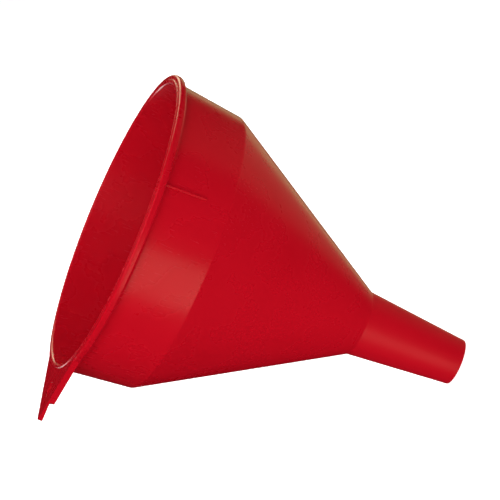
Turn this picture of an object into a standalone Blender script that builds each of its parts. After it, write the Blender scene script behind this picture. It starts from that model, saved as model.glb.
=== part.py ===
"""A moulded plastic funnel with a lift-out strainer.

Metres, +Z up. The funnel stands as it is used, with its spout down and its axis on Z. The origin is the
centre of the spout's end, which goes into a filler neck. The hanging tab points to -X.

The funnel is one moulding: a rim flange round the mouth, a slightly tapered band, a shoulder, a 60 degree
cone and a tapered spout. The strainer is a moulded frame with a gauze disc that a snap ring holds down. It
rests on the cone above the spout, and it lifts out through the mouth by its arched handle.
"""

import math

import bpy
import bmesh
from mathutils import Matrix, Vector

# ---------------------------------------------------------------- driving dimensions, in metres

# funnel body
LENGTH = 0.190                 # spout's end to the rim
RIM_RADIUS = 0.0795            # the flange's edge at its underside, before it is rounded
RIM_TOP_RADIUS = 0.07995       # the same at its top, because the flange's edge has draft
RIM_DEPTH = 0.004
LIP_RADIUS = 0.0769            # outside of the thin lip that stands on the flange round the mouth
LIP_HEIGHT = 0.0004
BAND_DEPTH = 0.0388            # rim to shoulder
BAND_RADIUS = 0.0765           # outside of the band, just under the flange
SHOULDER_RADIUS = 0.0726
CONE_HALF_ANGLE = math.radians(30)
SPOUT_ROOT_RADIUS = 0.0168
SPOUT_END_RADIUS = 0.01185
WALL = 0.0020

# hanging tab, which carries the flange's top on at -X
TAB_TIP = 0.1040               # tip's distance from the axis
TAB_TIP_RADIUS = 0.003
TAB_HALF_WIDTH = 0.026         # at RIM_RADIUS from the axis
TAB_PLATE = 0.0016
TAB_PLATE_AT_STEP = 0.00095    # past the step the plate is thinner, and it thickens to the tip
TAB_PLATE_AT_TIP = 0.0023
TAB_BELOW_RIM = 0.00045
TAB_DEPTH = 0.0037             # rim to the underside of the box section under the plate
TAB_STEP = 0.0947              # where the box section ends, from the axis
TAB_SKIRT = 0.0015             # wall of the box section
TAB_ROOT_RADIUS = 0.0772       # its root is sunk this far into the flange
HANG_HOLE_RADIUS = 0.00375
HANG_HOLE_AT = 0.0880

# raised rib on each side of the band
RIB_FROM_TAB = math.radians(105)
RIB_LENGTH = 0.024
RIB_WIDTH = 0.0012
RIB_HEIGHT = 0.0009
RIB_TURN = math.radians(4.5)

# strainer
GAP = 0.0003                   # kept between pieces that touch
FRAME_BOTTOM = 0.0735
FRAME_TOP = 0.0840
FRAME_WALL = 0.0023
SEAT_RADIUS = 0.0249           # bore of the frame that the gauze and the snap ring drop into
SEAT_INNER_RADIUS = 0.0226
SEAT_LEVEL = 0.0757
SEAT_WALL_TOP = 0.0788
GAUZE_THICKNESS = 0.0004
SNAP_RING_HEIGHT = 0.0018
SPOKE_WIDTH = 0.0018
SPOKE_HEIGHT = 0.0016
HANDLE_SPREAD = 0.0290         # half the distance between the arch's legs
HANDLE_RISE = 0.0210
HANDLE_BASE = 0.0828
HANDLE_THICKNESS = 0.0018
HANDLE_WIDTH = 0.0050

# how finely round shapes are divided
FUNNEL_STEPS = 72
STRAINER_STEPS = 48
ARC_SEGMENTS = 3
ARCH_SEGMENTS = 16

# ---------------------------------------------------------------- worked out from them

FLANGE_TOP = LENGTH - LIP_HEIGHT
SHOULDER_Z = LENGTH - BAND_DEPTH
BAND_SLOPE = (BAND_RADIUS - SHOULDER_RADIUS) / (BAND_DEPTH - RIM_DEPTH)
SPOUT_ROOT_Z = SHOULDER_Z - (SHOULDER_RADIUS - SPOUT_ROOT_RADIUS) / math.tan(CONE_HALF_ANGLE)
TAB_FACE = LENGTH - TAB_BELOW_RIM


def clear_scene():
    for found in list(bpy.data.objects):
        bpy.data.objects.remove(found, do_unlink=True)


def new_collection(name):
    made = bpy.data.collections.new(name)
    bpy.context.scene.collection.children.link(made)
    return made


def plastic(name, colour, roughness, metallic=0.0):
    made = bpy.data.materials.new(name)
    made.use_nodes = True
    shader = made.node_tree.nodes["Principled BSDF"]
    shader.inputs["Base Color"].default_value = (*colour, 1.0)
    shader.inputs["Roughness"].default_value = roughness
    shader.inputs["Metallic"].default_value = metallic
    return made


def add_object(name, mesh, collection, material=None):
    made = bpy.data.objects.new(name, mesh)
    collection.objects.link(made)
    if material:
        mesh.materials.append(material)
    return made


# ---------------------------------------------------------------- outlines in (radius, height)


def rounded(corners, segments=ARC_SEGMENTS):
    """A closed outline through corners (x, y, fillet radius), with each fillet as an arc."""
    points = []
    for i, (x, y, fillet) in enumerate(corners):
        corner = Vector((x, y))
        if not fillet:
            points.append(corner)
            continue
        before = (Vector(corners[i - 1][:2]) - corner).normalized()
        after = (Vector(corners[(i + 1) % len(corners)][:2]) - corner).normalized()
        half = before.angle(after) / 2
        centre = corner + (before + after).normalized() * fillet / math.sin(half)
        start = corner + before * fillet / math.tan(half) - centre
        turn = start.angle_signed(corner + after * fillet / math.tan(half) - centre)
        for k in range(segments + 1):
            points.append(centre + Matrix.Rotation(-turn * k / segments, 2) @ start)
    return points


def inner_wall(outer):
    """The line WALL inside an outer line that runs from the rim down to the spout's end."""
    normals = []
    for a, b in zip(outer, outer[1:]):
        along = (b - a).normalized()
        normals.append(Vector((along.y, -along.x)))
    inside = [outer[0] + Vector((WALL / normals[0].x, 0))]
    for corner, before, after in zip(outer[1:-1], normals, normals[1:]):
        mitre = (before + after).normalized()
        inside.append(corner + mitre * WALL / mitre.dot(before))
    inside.append(outer[-1] + Vector((WALL / normals[-1].x, 0)))
    return inside


def funnel_lines():
    """The outside and the inside of the wall, each from the rim down to the spout's end."""
    outside = [
        Vector((BAND_RADIUS + RIM_DEPTH * BAND_SLOPE, LENGTH)),
        Vector((SHOULDER_RADIUS, SHOULDER_Z)),
        Vector((SPOUT_ROOT_RADIUS, SPOUT_ROOT_Z)),
        Vector((SPOUT_END_RADIUS, 0.0)),
    ]
    return outside, inner_wall(outside)


def cone_bore(z):
    """The cone's inner radius at height z."""
    top, bottom = funnel_lines()[1][1:3]
    return bottom.x + (z - bottom.y) * (top.x - bottom.x) / (top.y - bottom.y)


# ---------------------------------------------------------------- solids


def turned(name, outline, steps, collection, material=None):
    """A closed outline turned round Z. It runs down its outer side."""
    mesh = bpy.data.meshes.new(name)
    count = len(outline)
    edges = [(i, (i + 1) % count) for i in range(count)]
    mesh.from_pydata([(p.x, 0.0, p.y) for p in outline], edges, [])
    made = add_object(name, mesh, collection, material)
    screw = made.modifiers.new("turn", "SCREW")
    screw.axis = "Z"
    screw.steps = steps
    screw.render_steps = steps
    screw.use_merge_vertices = True
    screw.merge_threshold = 0.00001
    screw.use_smooth_shade = False
    return made


def plate(name, outline, bottom, top, collection, matrix=Matrix()):
    """A flat outline made as thick as bottom to top along its own Z."""
    mesh = bpy.data.meshes.new(name)
    mesh.from_pydata([(p.x, p.y, bottom) for p in outline], [], [range(len(outline))])
    made = add_object(name, mesh, collection)
    made.matrix_world = matrix
    thick = made.modifiers.new("thickness", "SOLIDIFY")
    thick.thickness = top - bottom
    thick.offset = 1.0
    return made


def box(name, low, high, collection, matrix=Matrix()):
    low, high = Vector(low), Vector(high)
    mesh = bpy.data.meshes.new(name)
    shape = bmesh.new()
    bmesh.ops.create_cube(shape, size=1.0)
    bmesh.ops.scale(shape, vec=high - low, verts=shape.verts)
    bmesh.ops.translate(shape, vec=(low + high) / 2, verts=shape.verts)
    shape.to_mesh(mesh)
    shape.free()
    made = add_object(name, mesh, collection)
    made.matrix_world = matrix
    return made


def cylinder(name, radius, bottom, top, steps, collection, centre=(0.0, 0.0), material=None):
    mesh = bpy.data.meshes.new(name)
    shape = bmesh.new()
    bmesh.ops.create_cone(shape, cap_ends=True, segments=steps, radius1=radius, radius2=radius,
                          depth=top - bottom)
    bmesh.ops.translate(shape, vec=(*centre, (top + bottom) / 2), verts=shape.verts)
    shape.to_mesh(mesh)
    shape.free()
    return add_object(name, mesh, collection, material)


def boolean(target, tool, operation):
    change = target.modifiers.new(tool.name, "BOOLEAN")
    change.operation = operation
    change.solver = "EXACT"
    change.object = tool
    tool.hide_render = True
    tool.display_type = "WIRE"


# ---------------------------------------------------------------- the funnel


def funnel_shell(collection, material):
    outside, inside = funnel_lines()
    corners = [
        (LIP_RADIUS, LENGTH, 0.0003),
        (LIP_RADIUS, FLANGE_TOP, 0.0),
        (RIM_TOP_RADIUS, FLANGE_TOP, 0.0013),
        (RIM_RADIUS, LENGTH - RIM_DEPTH, 0.0009),
        (BAND_RADIUS, LENGTH - RIM_DEPTH, 0.0018),
        (*outside[1], 0.0030),
        (*outside[2], 0.0015),
        (*outside[3], 0.0005),
        (*inside[3], 0.0003),
        (*inside[2], 0.0030),
        (*inside[1], 0.0020),
        (*inside[0], 0.0009),
    ]
    return turned("funnel_body", rounded(corners), FUNNEL_STEPS, collection, material)


def tab_side():
    """The tab's straight side, as its outward normal's angle and its distance from the axis."""
    centre = Vector((TAB_TIP - TAB_TIP_RADIUS, 0.0))
    corner = Vector((RIM_RADIUS, TAB_HALF_WIDTH)) - centre
    angle = math.atan2(corner.y, corner.x) - math.acos(TAB_TIP_RADIUS / corner.length)
    return angle, TAB_TIP_RADIUS + centre.x * math.cos(angle)


def arc(radius, start, end, segments, centre_x=0.0):
    """Points on an arc about a centre on X, from angle start to angle end."""
    angles = [start + (end - start) * k / segments for k in range(segments + 1)]
    return [Vector((centre_x + radius * math.cos(a), radius * math.sin(a))) for a in angles]


def tab_outline():
    """The tab seen from above: a round tip, two straight sides and a root sunk in the flange."""
    angle, distance = tab_side()
    root = angle - math.acos(distance / TAB_ROOT_RADIUS)
    tip = arc(TAB_TIP_RADIUS, -angle, angle, 3 * ARC_SEGMENTS, TAB_TIP - TAB_TIP_RADIUS)
    return tip + arc(TAB_ROOT_RADIUS, root, -root, 4 * ARC_SEGMENTS)


def tab_pocket_outline():
    """The hollow under the plate, with a wall of TAB_SKIRT left round it."""
    angle, distance = tab_side()
    distance -= TAB_SKIRT
    near_radius = RIM_RADIUS + TAB_SKIRT
    near = angle - math.acos(distance / near_radius)
    far_x = TAB_STEP - TAB_SKIRT
    far_y = (distance - far_x * math.cos(angle)) / math.sin(angle)
    far = [Vector((far_x, -far_y)), Vector((far_x, far_y))]
    return far + arc(near_radius, near, -near, 4 * ARC_SEGMENTS)


def tab_step_outline(below):
    """What is cut away under the tip, seen from the side: its top runs down towards the tip."""
    end = 0.01
    slope = (TAB_PLATE_AT_TIP - TAB_PLATE_AT_STEP) / (TAB_TIP - TAB_STEP)
    at_step = TAB_FACE - TAB_PLATE_AT_STEP
    at_end = TAB_FACE - TAB_PLATE_AT_TIP - slope * end
    return [Vector((TAB_STEP, below)), Vector((TAB_TIP + end, below)), Vector((TAB_TIP + end, at_end)),
            Vector((TAB_STEP, at_step))]


def hanging_tab(cutters):
    """The tab, made at +X and turned to -X: a plate with a box section under its root."""
    turned_round = Matrix.Rotation(math.pi, 4, "Z")
    below = LENGTH - 0.02
    plate_bottom = TAB_FACE - TAB_PLATE
    tab = plate("tab_block", tab_outline(), LENGTH - TAB_DEPTH, TAB_FACE, cutters, turned_round)
    step = plate("tab_step", tab_step_outline(below), -0.03, 0.03, cutters,
                 turned_round @ Matrix.Rotation(math.pi / 2, 4, "X"))
    pocket = plate("tab_pocket", tab_pocket_outline(), below, plate_bottom, cutters, turned_round)
    for tool in (step, pocket):
        boolean(tab, tool, "DIFFERENCE")
    return tab


def band_rib(side, cutters):
    """A thin rib that runs down the band from under the flange, half sunk in the wall."""
    top = LENGTH - RIM_DEPTH / 2
    middle = top - RIB_LENGTH / 2
    radius = BAND_RADIUS - (LENGTH - RIM_DEPTH - middle) * BAND_SLOPE
    place = Matrix.Rotation(math.pi + side * RIB_FROM_TAB, 4, "Z")
    place @= Matrix.Translation((radius, 0.0, middle))
    place @= Matrix.Rotation(math.atan(BAND_SLOPE), 4, "Y") @ Matrix.Rotation(side * RIB_TURN, 4, "X")
    half = Vector((RIB_HEIGHT, RIB_WIDTH / 2, RIB_LENGTH / 2))
    name = "rib_left" if side > 0 else "rib_right"
    return box(name, -half, half, cutters, place)


def build_funnel(collection, cutters, material):
    body = funnel_shell(collection, material)
    boolean(body, hanging_tab(cutters), "UNION")
    for side in (1, -1):
        boolean(body, band_rib(side, cutters), "UNION")
    hole = cylinder("hang_hole", HANG_HOLE_RADIUS, LENGTH - 0.02, LENGTH + 0.01, 24, cutters,
                    centre=(-HANG_HOLE_AT, 0.0))
    boolean(body, hole, "DIFFERENCE")
    return body


# ---------------------------------------------------------------- the strainer


def build_strainer_frame(collection, cutters, material):
    slant_gap = GAP / math.cos(CONE_HALF_ANGLE)
    bottom_radius = cone_bore(FRAME_BOTTOM) - slant_gap
    top_radius = cone_bore(FRAME_TOP) - slant_gap
    corners = [
        (top_radius, FRAME_TOP, 0.0008),
        (bottom_radius, FRAME_BOTTOM, 0.0006),
        (SEAT_INNER_RADIUS, FRAME_BOTTOM, 0.0),
        (SEAT_INNER_RADIUS, SEAT_LEVEL, 0.0),
        (SEAT_RADIUS, SEAT_LEVEL, 0.0),
        (SEAT_RADIUS, SEAT_WALL_TOP, 0.0),
        (top_radius - FRAME_WALL, FRAME_TOP, 0.0008),
    ]
    frame = turned("strainer_frame", rounded(corners, 2), STRAINER_STEPS, collection, material)

    spoke_bottom = FRAME_BOTTOM + GAP
    reach = SEAT_INNER_RADIUS + 0.0010
    for name, turn in (("spoke_x", 0.0), ("spoke_y", math.pi / 2)):
        spoke = box(name, (-reach, -SPOKE_WIDTH / 2, spoke_bottom),
                    (reach, SPOKE_WIDTH / 2, spoke_bottom + SPOKE_HEIGHT), cutters,
                    Matrix.Rotation(turn, 4, "Z"))
        boolean(frame, spoke, "UNION")

    boolean(frame, lift_handle(cutters), "UNION")
    return frame


def lift_handle(cutters):
    """An arch across the frame: half an ellipse with a flat cross-section, drawn in XZ."""
    outline = []
    for half, order in ((0.5, 1), (-0.5, -1)):
        for k in range(ARCH_SEGMENTS + 1)[::order]:
            angle = math.pi * k / ARCH_SEGMENTS
            across = HANDLE_SPREAD + half * HANDLE_THICKNESS
            up = HANDLE_RISE + half * HANDLE_THICKNESS
            outline.append(Vector((across * math.cos(angle), up * math.sin(angle))))
    upright = Matrix.Translation((0.0, 0.0, HANDLE_BASE)) @ Matrix.Rotation(math.pi / 2, 4, "X")
    return plate("lift_handle", outline, -HANDLE_WIDTH / 2, HANDLE_WIDTH / 2, cutters, upright)


def build_gauze(collection, material):
    bottom = SEAT_LEVEL + GAP
    return cylinder("strainer_gauze", SEAT_RADIUS - GAP, bottom, bottom + GAUZE_THICKNESS, STRAINER_STEPS,
                    collection, material=material)


def build_snap_ring(collection, material):
    bottom = SEAT_LEVEL + GAP + GAUZE_THICKNESS + GAP
    top = bottom + SNAP_RING_HEIGHT
    outer = SEAT_RADIUS - GAP
    corners = [
        (outer, top, 0.0004),
        (outer, bottom, 0.0),
        (SEAT_INNER_RADIUS, bottom, 0.0),
        (SEAT_INNER_RADIUS, top, 0.0004),
    ]
    return turned("strainer_ring", rounded(corners, 2), STRAINER_STEPS, collection, material)


def main():
    clear_scene()
    parts = new_collection("funnel")
    cutters = new_collection("cutters")
    red = plastic("red_polyethylene", (0.46, 0.004, 0.012), 0.34)
    black = plastic("black_polypropylene", (0.03, 0.03, 0.032), 0.45)
    wire = plastic("gauze_wire", (0.62, 0.60, 0.56), 0.35, metallic=1.0)
    build_funnel(parts, cutters, red)
    build_strainer_frame(parts, cutters, black)
    build_gauze(parts, wire)
    build_snap_ring(parts, black)
    for tool in cutters.objects:
        tool.hide_render = True
        tool.display_type = "WIRE"


main()
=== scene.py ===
"""The looks of a red moulded funnel with a lift-out strainer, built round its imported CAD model.

The funnel's length, the tab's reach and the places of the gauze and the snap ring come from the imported
model, and the other sizes repeat the CAD model's. This script makes the fine surfaces: the funnel's one
moulding with its rounded lip, hanging tab and ribs, the strainer's frame and snap ring, and the gauze as
real woven wire. Lengths are in metres, +Z is up, and the funnel's axis is Z with the spout's end at 0.
"""

import math

import bpy
import bmesh
from mathutils import Matrix, Vector


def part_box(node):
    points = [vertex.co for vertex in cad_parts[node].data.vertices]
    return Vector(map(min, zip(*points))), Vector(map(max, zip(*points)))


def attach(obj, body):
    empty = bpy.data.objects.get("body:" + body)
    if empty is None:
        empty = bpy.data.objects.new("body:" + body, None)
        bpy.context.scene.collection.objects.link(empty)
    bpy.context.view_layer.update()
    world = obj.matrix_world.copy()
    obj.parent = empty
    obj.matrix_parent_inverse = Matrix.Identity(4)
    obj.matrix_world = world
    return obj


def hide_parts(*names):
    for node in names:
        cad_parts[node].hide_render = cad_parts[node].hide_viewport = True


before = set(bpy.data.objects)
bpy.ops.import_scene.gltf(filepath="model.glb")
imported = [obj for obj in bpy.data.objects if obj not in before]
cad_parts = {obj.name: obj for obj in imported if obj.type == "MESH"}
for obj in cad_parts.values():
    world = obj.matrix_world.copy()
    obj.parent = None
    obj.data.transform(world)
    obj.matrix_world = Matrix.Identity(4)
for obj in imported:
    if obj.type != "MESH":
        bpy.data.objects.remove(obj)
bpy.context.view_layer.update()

# ---------------------------------------------------------------- sizes from the frame

FUNNEL_LOW, FUNNEL_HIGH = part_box("funnel_body")
FRAME_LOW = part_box("strainer_frame")[0]
GAUZE_LOW, GAUZE_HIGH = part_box("strainer_gauze")
RING_LOW, RING_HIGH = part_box("strainer_ring")

LENGTH = FUNNEL_HIGH.z
TAB_TIP = -FUNNEL_LOW.x

# ---------------------------------------------------------------- the funnel's moulding

RIM_RADIUS = 0.0795            # the flange's edge at its underside, before it is rounded
RIM_TOP_RADIUS = 0.07992       # the same at its top, which keeps 0.03 mm inside the CAD model's
RIM_DEPTH = 0.004
LIP_RADIUS = 0.0769            # outside of the thin lip that stands on the flange round the mouth
LIP_HEIGHT = 0.0004
BAND_DEPTH = 0.0388            # from the lip's top down to the shoulder
BAND_RADIUS = 0.0765
SHOULDER_RADIUS = 0.0726
CONE_HALF_ANGLE = math.radians(30)
SPOUT_ROOT_RADIUS = 0.0168
SPOUT_END_RADIUS = 0.01185
WALL = 0.0020

# Fillets of the wall's outline, down its outside and then up its inside.
LIP_FILLET = 0.0003
LIP_FOOT_FILLET = 0.00008
RIM_TOP_FILLET = 0.0013
RIM_UNDERSIDE_FILLET = 0.0009
BAND_TOP_FILLET = 0.0018
SHOULDER_FILLET = 0.0030
SPOUT_ROOT_FILLET = 0.0015
SPOUT_END_FILLET = 0.0005
BORE_END_FILLET = 0.0003
BORE_ROOT_FILLET = 0.0030
BORE_SHOULDER_FILLET = 0.0020
MOUTH_FILLET = 0.0013

TAB_TIP_RADIUS = 0.003
TAB_HALF_WIDTH = 0.026         # at RIM_RADIUS from the axis
TAB_PLATE = 0.0016
TAB_PLATE_AT_STEP = 0.00095    # past the step the plate is thinner, and it thickens to the tip
TAB_PLATE_AT_TIP = 0.0023
TAB_BELOW_RIM = 0.00045
TAB_DEPTH = 0.0037
TAB_STEP = 0.0947
TAB_SKIRT = 0.0015
TAB_ROOT_RADIUS = 0.0772
TAB_ROUNDING = 0.0003
HANG_HOLE_RADIUS = 0.00375
HANG_HOLE_AT = 0.0880
STEP_CUT_HALF_WIDTH = 0.03     # more than the tab's
CUT_PAST = 0.01                # how far the tab's cutters run past its tip and above the lip
CUT_BELOW = 0.02               # how far below the lip's top they start

RIB_FROM_TAB = math.radians(105)
RIB_LENGTH = 0.024
RIB_WIDTH = 0.0012
RIB_HEIGHT = 0.0009
RIB_TURN = math.radians(4.5)
RIB_ROUNDING = 0.00045

# ---------------------------------------------------------------- the strainer

FRAME_TOP = 0.0840
FRAME_WALL = 0.0023
SEAT_RADIUS = 0.0249
SEAT_INNER_RADIUS = 0.0226
SEAT_LEVEL = 0.0757
SEAT_WALL_TOP = 0.0788
FRAME_TOP_FILLET = 0.0008
FRAME_BOTTOM_FILLET = 0.0006
SEAT_EDGE_FILLET = 0.0002
SEAT_CORNER_FILLET = 0.0001
SPOKE_WIDTH = 0.0018
SPOKE_HEIGHT = 0.0016
SPOKE_SUNK = 0.0010            # how far a spoke's ends go into the frame
SPOKE_ROUNDING = 0.00025
HANDLE_SPREAD = 0.0290
HANDLE_RISE = 0.0210
HANDLE_BASE = 0.0828
HANDLE_THICKNESS = 0.0018
HANDLE_WIDTH = 0.0050
HANDLE_ROUNDING = 0.0004
RING_TOP_FILLET = 0.0004
RING_BOTTOM_FILLET = 0.0002
WIRE_PITCH = 0.00095
WIRE_FILL = 0.92               # a wire's radius, as a share of the most that fits in the gauze's thickness
WIRE_END_GAP = 0.0001          # from the wires' ends to the CAD disc's edge

# ---------------------------------------------------------------- how finely shapes are divided

FUNNEL_STEPS = 288
STRAINER_STEPS = 144
ARC_SEGMENTS = 8
STRAINER_ARC_SEGMENTS = 5
STRAIGHT_STEP = 0.004
STRAINER_STRAIGHT_STEP = 0.002
HOLE_SEGMENTS = 64
HANDLE_SEGMENTS = 64
WIRE_SIDES = 6
WIRE_STEPS = 4                 # for each WIRE_PITCH
BEVEL_SEGMENTS = 3
BEVEL_ANGLE = math.radians(35)
SHARP_ANGLE = math.radians(40)

# ---------------------------------------------------------------- camera and light, angles in degrees

CAMERA_AZIMUTH = -6.07
CAMERA_ELEVATION = 12.15
CAMERA_ROLL = -67.82
CAMERA_AIM = Vector((0.01332, 0.0, 0.12010))
CAMERA_DISTANCE = 1.774
CAMERA_LENS = 255.8
CAMERA_SEES_TO = 20.0
LIGHT_AIM = Vector((0.0, 0.0, 0.12))
SOFT_DISTANCE = 1.5            # from LIGHT_AIM to the lights that give soft light
MIRRORED_DISTANCE = 1.2        # and to the ones that show only in the gloss
TENT_POWER = 1.4
FLOOR_HALF_SIDE = 6.0
FLOOR_LEVEL = -0.0005
FLOOR_GLOW = 0.95

# ---------------------------------------------------------------- worked out from the sizes above

FLANGE_TOP = LENGTH - LIP_HEIGHT
SHOULDER_Z = LENGTH - BAND_DEPTH
BAND_SLOPE = (BAND_RADIUS - SHOULDER_RADIUS) / (BAND_DEPTH - RIM_DEPTH)
SPOUT_ROOT_Z = SHOULDER_Z - (SHOULDER_RADIUS - SPOUT_ROOT_RADIUS) / math.tan(CONE_HALF_ANGLE)
TAB_FACE = LENGTH - TAB_BELOW_RIM
FIT_GAP = GAUZE_LOW.z - SEAT_LEVEL  # kept between all pieces that fit together


# ---------------------------------------------------------------- node helpers


class Nodes:
    """A material's node tree, with short calls to add nodes and link them."""

    def __init__(self, name):
        self.material = bpy.data.materials.new(name)
        self.material.use_nodes = True
        self.tree = self.material.node_tree
        self.shader = self.tree.nodes["Principled BSDF"]

    def add(self, kind):
        return self.tree.nodes.new(kind)

    def link(self, output, socket):
        self.tree.links.new(output, socket)

    def place(self, scale=(1.0, 1.0, 1.0)):
        """Object coordinates, stretched by scale."""
        where = self.add("ShaderNodeTexCoord")
        stretch = self.add("ShaderNodeMapping")
        stretch.inputs["Scale"].default_value = scale
        self.link(where.outputs["Object"], stretch.inputs["Vector"])
        return stretch.outputs["Vector"]

    def noise(self, vector, scale, detail=2.0, roughness=0.5):
        made = self.add("ShaderNodeTexNoise")
        made.inputs["Scale"].default_value = scale
        made.inputs["Detail"].default_value = detail
        made.inputs["Roughness"].default_value = roughness
        self.link(vector, made.inputs["Vector"])
        return made.outputs["Fac"]

    def fit(self, value, low, high, to_low=0.0, to_high=1.0):
        """value, from low..high to to_low..to_high, held at the ends."""
        made = self.add("ShaderNodeMapRange")
        for name, number in (("From Min", low), ("From Max", high), ("To Min", to_low), ("To Max", to_high)):
            made.inputs[name].default_value = number
        self.link(value, made.inputs["Value"])
        return made.outputs["Result"]

    def math(self, operation, a, b):
        """a and b are numbers or outputs."""
        made = self.add("ShaderNodeMath")
        made.operation = operation
        for socket, value in zip(made.inputs, (a, b)):
            if isinstance(value, float):
                socket.default_value = value
            else:
                self.link(value, socket)
        return made.outputs["Value"]

    def mix(self, share, a, b):
        """Colour a to colour b by share. a and b are colours or outputs."""
        made = self.add("ShaderNodeMix")
        made.data_type = "RGBA"
        self.link(share, made.inputs["Factor"])
        for socket, value in ((made.inputs[6], a), (made.inputs[7], b)):  # its two colour inputs
            if isinstance(value, tuple):
                socket.default_value = (*value, 1.0)
            else:
                self.link(value, socket)
        return made.outputs[2]  # its colour output

    def bump(self, height, distance, normal=None):
        """A bump of height, on top of another bump's normal where one is given."""
        made = self.add("ShaderNodeBump")
        made.inputs["Distance"].default_value = distance
        self.link(height, made.inputs["Height"])
        if normal is not None:
            self.link(normal, made.inputs["Normal"])
        return made.outputs["Normal"]


# ---------------------------------------------------------------- materials

RED = (0.462, 0.0032, 0.0110)
RED_DEEP = (0.432, 0.0026, 0.0095)
RED_SCUFFED = (0.560, 0.060, 0.070)
BLACK = (0.022, 0.022, 0.024)
BLACK_WORN = (0.055, 0.055, 0.058)
STEEL = (0.62, 0.60, 0.56)
STEEL_DULL = (0.40, 0.385, 0.36)


def red_polyethylene():
    """Satin moulded polyethylene: faint flow clouding, a soft skin, fine scratches and rubbed ends."""
    n = Nodes("red_polyethylene")
    plain = n.place()
    drawn_up = n.place((1.0, 1.0, 0.12))
    clouds = n.fit(n.noise(plain, scale=28.0, detail=3.0), 0.35, 0.65)
    flow = n.fit(n.noise(drawn_up, scale=60.0), 0.35, 0.70)
    tint = n.math("MULTIPLY", clouds, flow)
    body = n.mix(tint, RED, RED_DEEP)

    split = n.add("ShaderNodeSeparateXYZ")
    n.link(plain, split.inputs["Vector"])
    height = split.outputs["Z"]
    at_lip = n.fit(height, FLANGE_TOP, LENGTH - 0.0001)
    at_spout_end = n.fit(height, 0.0014, 0.0002)
    ends = n.math("MAXIMUM", at_lip, at_spout_end)
    rubbed = n.fit(n.noise(plain, scale=420.0, detail=4.0, roughness=0.6), 0.52, 0.70)
    wear = n.math("MULTIPLY", n.math("MULTIPLY", ends, rubbed), 0.35)
    n.link(n.mix(wear, body, RED_SCUFFED), n.shader.inputs["Base Color"])

    long_and_thin = n.place((1.0, 1.0, 0.05))
    scratches = n.fit(n.noise(long_and_thin, scale=900.0, roughness=0.7), 0.60, 0.74)
    patches = n.fit(n.noise(plain, scale=60.0, detail=3.0), 0.3, 0.7, 0.25, 0.30)
    duller_spout = n.fit(height, SPOUT_ROOT_Z + 0.002, SPOUT_ROOT_Z - 0.002, 0.0, 0.15)
    rough = n.math("ADD", patches, n.math("MULTIPLY", scratches, 0.03))
    rough = n.math("ADD", rough, n.math("MULTIPLY", wear, 0.4))
    rough = n.math("ADD", rough, duller_spout)
    n.link(rough, n.shader.inputs["Roughness"])

    skin = n.noise(plain, scale=750.0)
    waves = n.noise(plain, scale=110.0, detail=1.0)
    relief = n.math("ADD", skin, n.math("MULTIPLY", waves, 4.0))
    normal = n.bump(relief, distance=0.000005)
    normal = n.bump(scratches, distance=-0.0000005, normal=normal)
    n.link(normal, n.shader.inputs["Normal"])
    n.shader.inputs["IOR"].default_value = 1.50
    return n.material


def black_polypropylene():
    """Matt moulded polypropylene with a fine spark-eroded grain, rubbed a little paler in places."""
    n = Nodes("black_polypropylene")
    plain = n.place()
    rubbed = n.fit(n.noise(plain, scale=90.0, detail=4.0, roughness=0.6), 0.50, 0.80)
    speck = n.fit(n.noise(plain, scale=1500.0), 0.40, 0.75)
    shade = n.math("MULTIPLY", n.math("ADD", rubbed, speck), 0.45)
    n.link(n.mix(shade, BLACK, BLACK_WORN), n.shader.inputs["Base Color"])
    n.link(n.fit(rubbed, 0.0, 1.0, 0.52, 0.40), n.shader.inputs["Roughness"])
    grain = n.noise(plain, scale=3800.0, detail=3.0, roughness=0.6)
    n.link(n.bump(grain, distance=0.00002), n.shader.inputs["Normal"])
    n.shader.inputs["IOR"].default_value = 1.49
    return n.material


def steel_wire():
    """Drawn stainless wire: bright, with duller stretches and a fine drawn texture."""
    n = Nodes("steel_wire")
    plain = n.place()
    dull = n.fit(n.noise(plain, scale=240.0, detail=3.0, roughness=0.6), 0.35, 0.75)
    n.link(n.mix(dull, STEEL, STEEL_DULL), n.shader.inputs["Base Color"])
    n.link(n.fit(dull, 0.0, 1.0, 0.24, 0.42), n.shader.inputs["Roughness"])
    drawn = n.noise(plain, scale=9000.0)
    n.link(n.bump(drawn, distance=0.000003), n.shader.inputs["Normal"])
    n.shader.inputs["Metallic"].default_value = 0.55
    return n.material


# ---------------------------------------------------------------- outlines in (radius, height)


def rounded(corners, segments=ARC_SEGMENTS):
    """A closed outline through corners (x, y, fillet radius), with each fillet as an arc."""
    points = []
    for i, (x, y, fillet) in enumerate(corners):
        corner = Vector((x, y))
        before = (Vector(corners[i - 1][:2]) - corner).normalized()
        after = (Vector(corners[(i + 1) % len(corners)][:2]) - corner).normalized()
        half = before.angle(after) / 2
        centre = corner + (before + after).normalized() * fillet / math.sin(half)
        start = corner + before * fillet / math.tan(half) - centre
        turn = start.angle_signed(corner + after * fillet / math.tan(half) - centre)
        for k in range(segments + 1):
            points.append(centre + Matrix.Rotation(-turn * k / segments, 2) @ start)
    return points


def divided(points, step=STRAIGHT_STEP):
    """The same closed outline, with its long straight runs cut into equal shorter ones."""
    finer = []
    for a, b in zip(points, points[1:] + points[:1]):
        pieces = max(1, math.ceil((b - a).length / step))
        finer += [a.lerp(b, k / pieces) for k in range(pieces)]
    return finer


def inner_wall(outer):
    """The line WALL inside an outer line that runs from the rim down to the spout's end."""
    normals = []
    for a, b in zip(outer, outer[1:]):
        along = (b - a).normalized()
        normals.append(Vector((along.y, -along.x)))
    inside = [outer[0] + Vector((WALL / normals[0].x, 0))]
    for corner, before, after in zip(outer[1:-1], normals, normals[1:]):
        mitre = (before + after).normalized()
        inside.append(corner + mitre * WALL / mitre.dot(before))
    inside.append(outer[-1] + Vector((WALL / normals[-1].x, 0)))
    return inside


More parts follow.
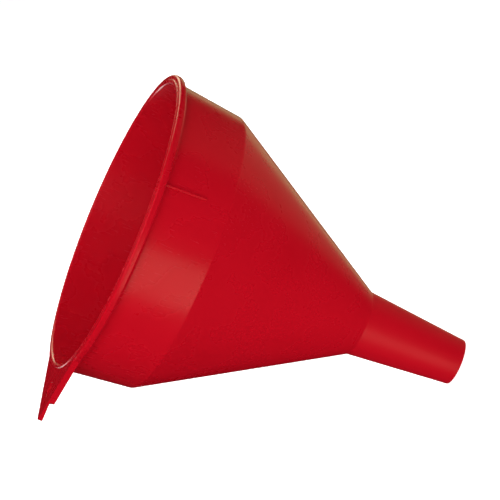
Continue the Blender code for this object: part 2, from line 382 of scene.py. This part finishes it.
def funnel_lines():
    """The outside and the inside of the wall, each from the rim down to the spout's end."""
    outside = [
        Vector((BAND_RADIUS + RIM_DEPTH * BAND_SLOPE, LENGTH)),
        Vector((SHOULDER_RADIUS, SHOULDER_Z)),
        Vector((SPOUT_ROOT_RADIUS, SPOUT_ROOT_Z)),
        Vector((SPOUT_END_RADIUS, 0.0)),
    ]
    return outside, inner_wall(outside)


def cone_bore(z):
    """The cone's inner radius at height z."""
    top, bottom = funnel_lines()[1][1:3]
    return bottom.x + (z - bottom.y) * (top.x - bottom.x) / (top.y - bottom.y)


# ---------------------------------------------------------------- mesh helpers


def add_object(name, data):
    made = bpy.data.objects.new(name, data)
    bpy.context.scene.collection.objects.link(made)
    return made


def from_shape(name, shape):
    """An object from a bmesh, with its faces turned outwards."""
    bmesh.ops.recalc_face_normals(shape, faces=shape.faces)
    mesh = bpy.data.meshes.new(name)
    shape.to_mesh(mesh)
    shape.free()
    return add_object(name, mesh)


def turned(name, outline, steps):
    """A closed outline turned round Z."""
    shape = bmesh.new()
    rings = []
    for k in range(steps):
        angle = 2 * math.pi * k / steps
        across = Vector((math.cos(angle), math.sin(angle)))
        rings.append([shape.verts.new((across.x * p.x, across.y * p.x, p.y)) for p in outline])
    count = len(outline)
    for k, ring in enumerate(rings):
        beside = rings[(k + 1) % steps]
        for i in range(count):
            j = (i + 1) % count
            shape.faces.new((ring[i], ring[j], beside[j], beside[i]))
    return from_shape(name, shape)


def prism(name, outline, bottom, top, matrix):
    """A flat outline made as thick as bottom to top along its own Z, then placed by the matrix."""
    shape = bmesh.new()
    low = [shape.verts.new(matrix @ Vector((p.x, p.y, bottom))) for p in outline]
    high = [shape.verts.new(matrix @ Vector((p.x, p.y, top))) for p in outline]
    shape.faces.new(low)
    shape.faces.new(high)
    for i in range(len(outline)):
        j = (i + 1) % len(outline)
        shape.faces.new((low[i], low[j], high[j], high[i]))
    return from_shape(name, shape)


def box(name, low, high, matrix):
    """A block between its lowest and highest corners, then placed by the matrix."""
    corners = [Vector((low[0], low[1])), Vector((high[0], low[1])),
               Vector((high[0], high[1])), Vector((low[0], high[1]))]
    return prism(name, corners, low[2], high[2], matrix)


def apply_modifiers(piece):
    """Replaces the piece's mesh by what its modifiers make of it."""
    graph = bpy.context.evaluated_depsgraph_get()
    made = bpy.data.meshes.new_from_object(piece.evaluated_get(graph))
    piece.modifiers.clear()
    piece.data = made


def boolean(target, tool, operation):
    """Cuts or joins the target with the tool, and removes the tool."""
    change = target.modifiers.new(operation.lower(), "BOOLEAN")
    change.operation = operation
    change.solver = "EXACT"
    change.object = tool
    apply_modifiers(target)
    bpy.data.objects.remove(tool, do_unlink=True)


def round_edges(piece, width):
    soften = piece.modifiers.new("rounding", "BEVEL")
    soften.width = width
    soften.segments = BEVEL_SEGMENTS
    soften.limit_method = "ANGLE"
    soften.angle_limit = BEVEL_ANGLE
    apply_modifiers(piece)


def smooth(piece):
    """Smooth shading that keeps flat faces flat beside their rounded edges."""
    piece.data.shade_smooth()
    piece.data.set_sharp_from_angle(angle=SHARP_ANGLE)
    even = piece.modifiers.new("even_shading", "WEIGHTED_NORMAL")
    even.keep_sharp = True
    apply_modifiers(piece)


def dress(piece, body, node, material):
    """Gives the finished piece its material and its body, and hides the CAD node that it stands for."""
    piece.data.materials.clear()
    piece.data.materials.append(material)
    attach(piece, body)
    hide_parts(node)


# ---------------------------------------------------------------- the funnel


def funnel_shell():
    """The lip, flange, band, cone and spout, turned in one."""
    outside, inside = funnel_lines()
    corners = [
        (LIP_RADIUS, LENGTH, LIP_FILLET),
        (LIP_RADIUS, FLANGE_TOP, LIP_FOOT_FILLET),
        (RIM_TOP_RADIUS, FLANGE_TOP, RIM_TOP_FILLET),
        (RIM_RADIUS, LENGTH - RIM_DEPTH, RIM_UNDERSIDE_FILLET),
        (BAND_RADIUS, LENGTH - RIM_DEPTH, BAND_TOP_FILLET),
        (*outside[1], SHOULDER_FILLET),
        (*outside[2], SPOUT_ROOT_FILLET),
        (*outside[3], SPOUT_END_FILLET),
        (*inside[3], BORE_END_FILLET),
        (*inside[2], BORE_ROOT_FILLET),
        (*inside[1], BORE_SHOULDER_FILLET),
        (*inside[0], MOUTH_FILLET),
    ]
    return turned("funnel_moulding", divided(rounded(corners)), FUNNEL_STEPS)


def tab_side():
    """The tab's straight side, as its outward normal's angle and its distance from the axis."""
    centre = Vector((TAB_TIP - TAB_TIP_RADIUS, 0.0))
    corner = Vector((RIM_RADIUS, TAB_HALF_WIDTH)) - centre
    angle = math.atan2(corner.y, corner.x) - math.acos(TAB_TIP_RADIUS / corner.length)
    return angle, TAB_TIP_RADIUS + centre.x * math.cos(angle)


def arc(radius, start, end, segments, centre_x=0.0):
    """Points on an arc about a centre on X, from angle start to angle end."""
    angles = [start + (end - start) * k / segments for k in range(segments + 1)]
    return [Vector((centre_x + radius * math.cos(a), radius * math.sin(a))) for a in angles]


def tab_outline():
    """The tab seen from above: a round tip, two straight sides and a root sunk in the flange."""
    angle, distance = tab_side()
    root = angle - math.acos(distance / TAB_ROOT_RADIUS)
    tip = arc(TAB_TIP_RADIUS, -angle, angle, 3 * ARC_SEGMENTS, TAB_TIP - TAB_TIP_RADIUS)
    return tip + arc(TAB_ROOT_RADIUS, root, -root, 4 * ARC_SEGMENTS)


def tab_pocket_outline():
    """The hollow under the plate, with a wall of TAB_SKIRT left round it."""
    angle, distance = tab_side()
    distance -= TAB_SKIRT
    near_radius = RIM_RADIUS + TAB_SKIRT
    near = angle - math.acos(distance / near_radius)
    far_x = TAB_STEP - TAB_SKIRT
    far_y = (distance - far_x * math.cos(angle)) / math.sin(angle)
    far = [Vector((far_x, -far_y)), Vector((far_x, far_y))]
    return far + arc(near_radius, near, -near, 4 * ARC_SEGMENTS)


def tab_step_outline(below):
    """What is cut away under the tip, seen from the side: its top runs down towards the tip."""
    slope = (TAB_PLATE_AT_TIP - TAB_PLATE_AT_STEP) / (TAB_TIP - TAB_STEP)
    at_step = TAB_FACE - TAB_PLATE_AT_STEP
    end = TAB_TIP + CUT_PAST
    at_end = TAB_FACE - TAB_PLATE_AT_TIP - slope * CUT_PAST
    corners = [(TAB_STEP, below), (end, below), (end, at_end), (TAB_STEP, at_step)]
    return [Vector(corner) for corner in corners]


def hanging_tab():
    """The tab, made at +X and turned to -X: a plate with a box section under its root."""
    turned_round = Matrix.Rotation(math.pi, 4, "Z")
    upright = turned_round @ Matrix.Rotation(math.pi / 2, 4, "X")
    below = LENGTH - CUT_BELOW
    tab = prism("tab", tab_outline(), LENGTH - TAB_DEPTH, TAB_FACE, turned_round)
    step = prism("step", tab_step_outline(below), -STEP_CUT_HALF_WIDTH, STEP_CUT_HALF_WIDTH, upright)
    boolean(tab, step, "DIFFERENCE")
    pocket = prism("pocket", tab_pocket_outline(), below, TAB_FACE - TAB_PLATE, turned_round)
    boolean(tab, pocket, "DIFFERENCE")
    circle = arc(HANG_HOLE_RADIUS, 0.0, 2 * math.pi, HOLE_SEGMENTS, HANG_HOLE_AT)[:-1]
    hole = prism("hole", circle, below, LENGTH + CUT_PAST, turned_round)
    boolean(tab, hole, "DIFFERENCE")
    round_edges(tab, TAB_ROUNDING)
    return tab


def band_rib(side):
    """A thin rib that runs down the band from under the flange, half sunk in the wall. side is 1 or -1."""
    top = LENGTH - RIM_DEPTH / 2
    middle = top - RIB_LENGTH / 2
    radius = BAND_RADIUS - (LENGTH - RIM_DEPTH - middle) * BAND_SLOPE
    place = Matrix.Rotation(math.pi + side * RIB_FROM_TAB, 4, "Z")
    place @= Matrix.Translation((radius, 0.0, middle))
    place @= Matrix.Rotation(math.atan(BAND_SLOPE), 4, "Y") @ Matrix.Rotation(side * RIB_TURN, 4, "X")
    half = Vector((RIB_HEIGHT, RIB_WIDTH / 2, RIB_LENGTH / 2))
    rib = box("rib", -half, half, place)
    round_edges(rib, RIB_ROUNDING)
    return rib


def build_funnel(material):
    """The whole moulding: the shell with its tab and its two ribs, joined in one."""
    moulding = funnel_shell()
    boolean(moulding, hanging_tab(), "UNION")
    for side in (1, -1):
        boolean(moulding, band_rib(side), "UNION")
    smooth(moulding)
    dress(moulding, "funnel", "funnel_body", material)


# ---------------------------------------------------------------- the strainer


def build_strainer_frame(material):
    """The tapered ring with its seat for the gauze, the cross under it and the handle over it."""
    slant_gap = FIT_GAP / math.cos(CONE_HALF_ANGLE)
    bottom, top = FRAME_LOW.z, FRAME_TOP
    corners = [
        (cone_bore(top) - slant_gap, top, FRAME_TOP_FILLET),
        (cone_bore(bottom) - slant_gap, bottom, FRAME_BOTTOM_FILLET),
        (SEAT_INNER_RADIUS, bottom, SEAT_EDGE_FILLET),
        (SEAT_INNER_RADIUS, SEAT_LEVEL, SEAT_EDGE_FILLET),
        (SEAT_RADIUS, SEAT_LEVEL, SEAT_CORNER_FILLET),
        (SEAT_RADIUS, SEAT_WALL_TOP, SEAT_EDGE_FILLET),
        (cone_bore(top) - slant_gap - FRAME_WALL, top, FRAME_TOP_FILLET),
    ]
    outline = divided(rounded(corners, STRAINER_ARC_SEGMENTS), STRAINER_STRAIGHT_STEP)
    basket = turned("strainer_basket", outline, STRAINER_STEPS)
    reach = SEAT_INNER_RADIUS + SPOKE_SUNK
    spoke_bottom = bottom + FIT_GAP
    for turn in (0.0, math.pi / 2):
        spoke = box("spoke", (-reach, -SPOKE_WIDTH / 2, spoke_bottom),
                    (reach, SPOKE_WIDTH / 2, spoke_bottom + SPOKE_HEIGHT), Matrix.Rotation(turn, 4, "Z"))
        round_edges(spoke, SPOKE_ROUNDING)
        boolean(basket, spoke, "UNION")
    boolean(basket, lift_handle(), "UNION")
    smooth(basket)
    dress(basket, "strainer", "strainer_frame", material)


def lift_handle():
    """An arch across the frame: half an ellipse with a flat cross-section, drawn in XZ."""
    outline = []
    for half, order in ((0.5, 1), (-0.5, -1)):
        for k in range(HANDLE_SEGMENTS + 1)[::order]:
            angle = math.pi * k / HANDLE_SEGMENTS
            across = HANDLE_SPREAD + half * HANDLE_THICKNESS
            up = HANDLE_RISE + half * HANDLE_THICKNESS
            outline.append(Vector((across * math.cos(angle), up * math.sin(angle))))
    upright = Matrix.Translation((0.0, 0.0, HANDLE_BASE)) @ Matrix.Rotation(math.pi / 2, 4, "X")
    arch = prism("arch", outline, -HANDLE_WIDTH / 2, HANDLE_WIDTH / 2, upright)
    round_edges(arch, HANDLE_ROUNDING)
    return arch


def build_snap_ring(material):
    """The ring that holds the gauze down on its seat."""
    outer = SEAT_RADIUS - FIT_GAP
    low, high = RING_LOW.z, RING_HIGH.z
    corners = [
        (outer, high, RING_TOP_FILLET),
        (outer, low, RING_BOTTOM_FILLET),
        (SEAT_INNER_RADIUS, low, RING_BOTTOM_FILLET),
        (SEAT_INNER_RADIUS, high, RING_TOP_FILLET),
    ]
    ring = turned("snap_ring", rounded(corners, STRAINER_ARC_SEGMENTS), STRAINER_STEPS)
    smooth(ring)
    dress(ring, "strainer", "strainer_ring", material)


def wire(shape, start, end, radius, lift, phase):
    """Adds a closed tube from start to end that goes over and under, half a wave for each WIRE_PITCH."""
    start = Vector(start)
    run = Vector(end) - start
    count = max(2, round(run.length / WIRE_PITCH * WIRE_STEPS))
    along = run.normalized()
    beside = Vector((-along.y, along.x, 0.0))
    rings = []
    for k in range(count + 1):
        point = start + run * k / count
        place = along.dot(point)
        wave = math.pi * place / WIRE_PITCH + phase
        slope = lift * math.pi / WIRE_PITCH * math.cos(wave)
        up = Vector((-along.x * slope, -along.y * slope, 1.0)).normalized()
        middle = point + Vector((0.0, 0.0, lift * math.sin(wave)))
        ring = []
        for s in range(WIRE_SIDES):
            angle = 2 * math.pi * (s + 0.5) / WIRE_SIDES
            ring.append(shape.verts.new(middle + (beside * math.cos(angle) + up * math.sin(angle)) * radius))
        rings.append(ring)
    for a, b in zip(rings, rings[1:]):
        for s in range(WIRE_SIDES):
            t = (s + 1) % WIRE_SIDES
            shape.faces.new((a[s], a[t], b[t], b[s]))
    shape.faces.new(rings[0][::-1])
    shape.faces.new(rings[-1])


def build_gauze(material):
    """Plain woven wire, cut to a disc: each wire goes over and under the ones that cross it."""
    thickness = GAUZE_HIGH.z - GAUZE_LOW.z
    middle = (GAUZE_HIGH.z + GAUZE_LOW.z) / 2
    radius = thickness / 4 * WIRE_FILL
    lift = thickness / 2 - radius
    disc = GAUZE_HIGH.x - WIRE_END_GAP
    count = int(disc / WIRE_PITCH)
    shape = bmesh.new()
    for k in range(-count, count + 1):
        offset = k * WIRE_PITCH
        half = math.sqrt(disc * disc - offset * offset)
        phase = math.pi * k + math.pi / 2
        wire(shape, (-half, offset, middle), (half, offset, middle), radius, lift, phase)
        wire(shape, (offset, -half, middle), (offset, half, middle), radius, lift, phase + math.pi)
    gauze = from_shape("woven_gauze", shape)
    gauze.data.shade_smooth()
    dress(gauze, "strainer", "strainer_gauze", material)


# ---------------------------------------------------------------- stage, light and camera


def direction(azimuth, elevation):
    """Unit vector towards an azimuth and elevation in degrees. Azimuth 0 is the camera's side, -Y."""
    a, e = math.radians(azimuth), math.radians(elevation)
    return Vector((math.sin(a) * math.cos(e), -math.cos(a) * math.cos(e), math.sin(e)))


def make_camera():
    """The camera, which looks back at CAMERA_AIM and is rolled about its own view."""
    back = direction(CAMERA_AZIMUTH, CAMERA_ELEVATION)
    azimuth, roll = math.radians(CAMERA_AZIMUTH), math.radians(CAMERA_ROLL)
    level = Vector((math.cos(azimuth), math.sin(azimuth), 0.0))
    turn = Matrix((level, back.cross(level), back)).transposed().to_4x4()
    data = bpy.data.cameras.new("camera")
    data.lens = CAMERA_LENS
    data.clip_end = CAMERA_SEES_TO
    camera = add_object("camera", data)
    camera.matrix_world = (Matrix.Translation(CAMERA_AIM + back * CAMERA_DISTANCE) @ turn
                           @ Matrix.Rotation(roll, 4, "Z"))
    bpy.context.scene.camera = camera


def softbox(name, azimuth, elevation, size, power, colour=(1.0, 1.0, 1.0), mirrored=False):
    """An area light that looks at the funnel.

    A mirrored one shows only in the gloss. The others give only soft light, and the gloss doesn't show them.
    """
    data = bpy.data.lights.new(name, "AREA")
    data.shape = "RECTANGLE"
    data.size, data.size_y = size
    data.energy = power
    data.color = colour
    data.cycles.use_multiple_importance_sampling = mirrored
    lamp = add_object(name, data)
    away = direction(azimuth, elevation)
    distance = MIRRORED_DISTANCE if mirrored else SOFT_DISTANCE
    lamp.matrix_world = (Matrix.Translation(LIGHT_AIM + away * distance)
                         @ (-away).to_track_quat("-Z", "Y").to_matrix().to_4x4())
    lamp.visible_camera = False
    lamp.visible_glossy = mirrored
    lamp.visible_diffuse = not mirrored


def make_floor():
    """A wide pale floor just under the spout. It glows by itself, so that it is as pale as the backdrop."""
    half = FLOOR_HALF_SIDE
    corners = [(-half, -half), (half, -half), (half, half), (-half, half)]
    shape = bmesh.new()
    shape.faces.new([shape.verts.new((x, y, FLOOR_LEVEL)) for x, y in corners])
    floor = from_shape("floor", shape)
    n = Nodes("pale_floor")
    n.shader.inputs["Base Color"].default_value = (0.8, 0.8, 0.8, 1.0)
    n.shader.inputs["Roughness"].default_value = 0.9
    n.shader.inputs["Emission Color"].default_value = (1.0, 1.0, 1.0, 1.0)
    n.shader.inputs["Emission Strength"].default_value = FLOOR_GLOW
    floor.data.materials.append(n.material)
    floor.visible_glossy = False
    floor.visible_diffuse = False
    floor.visible_shadow = False


def make_world():
    """A white surround that only the camera sees: the light comes from the softboxes."""
    world = bpy.data.worlds.new("studio")
    world.use_nodes = True
    bpy.context.scene.world = world
    nodes, links = world.node_tree.nodes, world.node_tree.links
    backdrop = nodes["Background"]
    backdrop.inputs["Color"].default_value = (1.0, 1.0, 1.0, 1.0)
    ray = nodes.new("ShaderNodeLightPath")
    links.new(ray.outputs["Is Camera Ray"], backdrop.inputs["Strength"])


def make_lights():
    """An even tent of dim panels, brighter panels that shape the funnel, and mirrored ones for its gloss."""
    panel, strip = (0.9, 0.9), 0.36
    for elevation in (-45, 0, 45):
        for azimuth in range(0, 360, 45):
            softbox(f"tent_{azimuth}_{elevation}", azimuth, elevation, panel, TENT_POWER)
    for elevation in (-89, 89):
        softbox(f"tent_{elevation}", 0, elevation, panel, TENT_POWER)
    softbox("key", 0, 35, panel, 10.8)
    softbox("side", -45, 0, panel, 9.5)
    softbox("side_high", -45, 45, panel, 5.6)
    softbox("under", 0, -89, panel, 10.4)
    softbox("under_side", 90, -45, panel, 7.0)
    softbox("back_high", 90, 45, panel, 5.0)
    softbox("back", 170, 5, panel, 8.0)

    softbox("window", -31, -26, (0.75, strip), 1.15, colour=(1.0, 1.0, 0.74), mirrored=True)
    softbox("front_strip", -28, 20, (0.75, strip), 0.6, mirrored=True)
    softbox("back_card", 149, -22, (0.3, 0.8), 0.52, colour=(0.7, 1.0, 0.50), mirrored=True)
    softbox("back_fill", 102, -33, (1.4, 0.7), 0.6, colour=(1.0, 1.0, 0.65), mirrored=True)
    softbox("top_strip", -6, 75, (0.9, 0.3), 1.3, mirrored=True)
    softbox("back_strip", 150, 25, (strip, 0.8), 2.8, colour=(1.0, 1.0, 0.65), mirrored=True)
    softbox("back_corner", -150, 12, (strip, strip), 2.2, mirrored=True)


def main():
    scene = bpy.context.scene
    scene.view_settings.view_transform = "Standard"
    make_camera()
    make_floor()
    make_world()
    make_lights()
    red, black = red_polyethylene(), black_polypropylene()
    build_funnel(red)
    build_strainer_frame(black)
    build_gauze(steel_wire())
    build_snap_ring(black)


main()
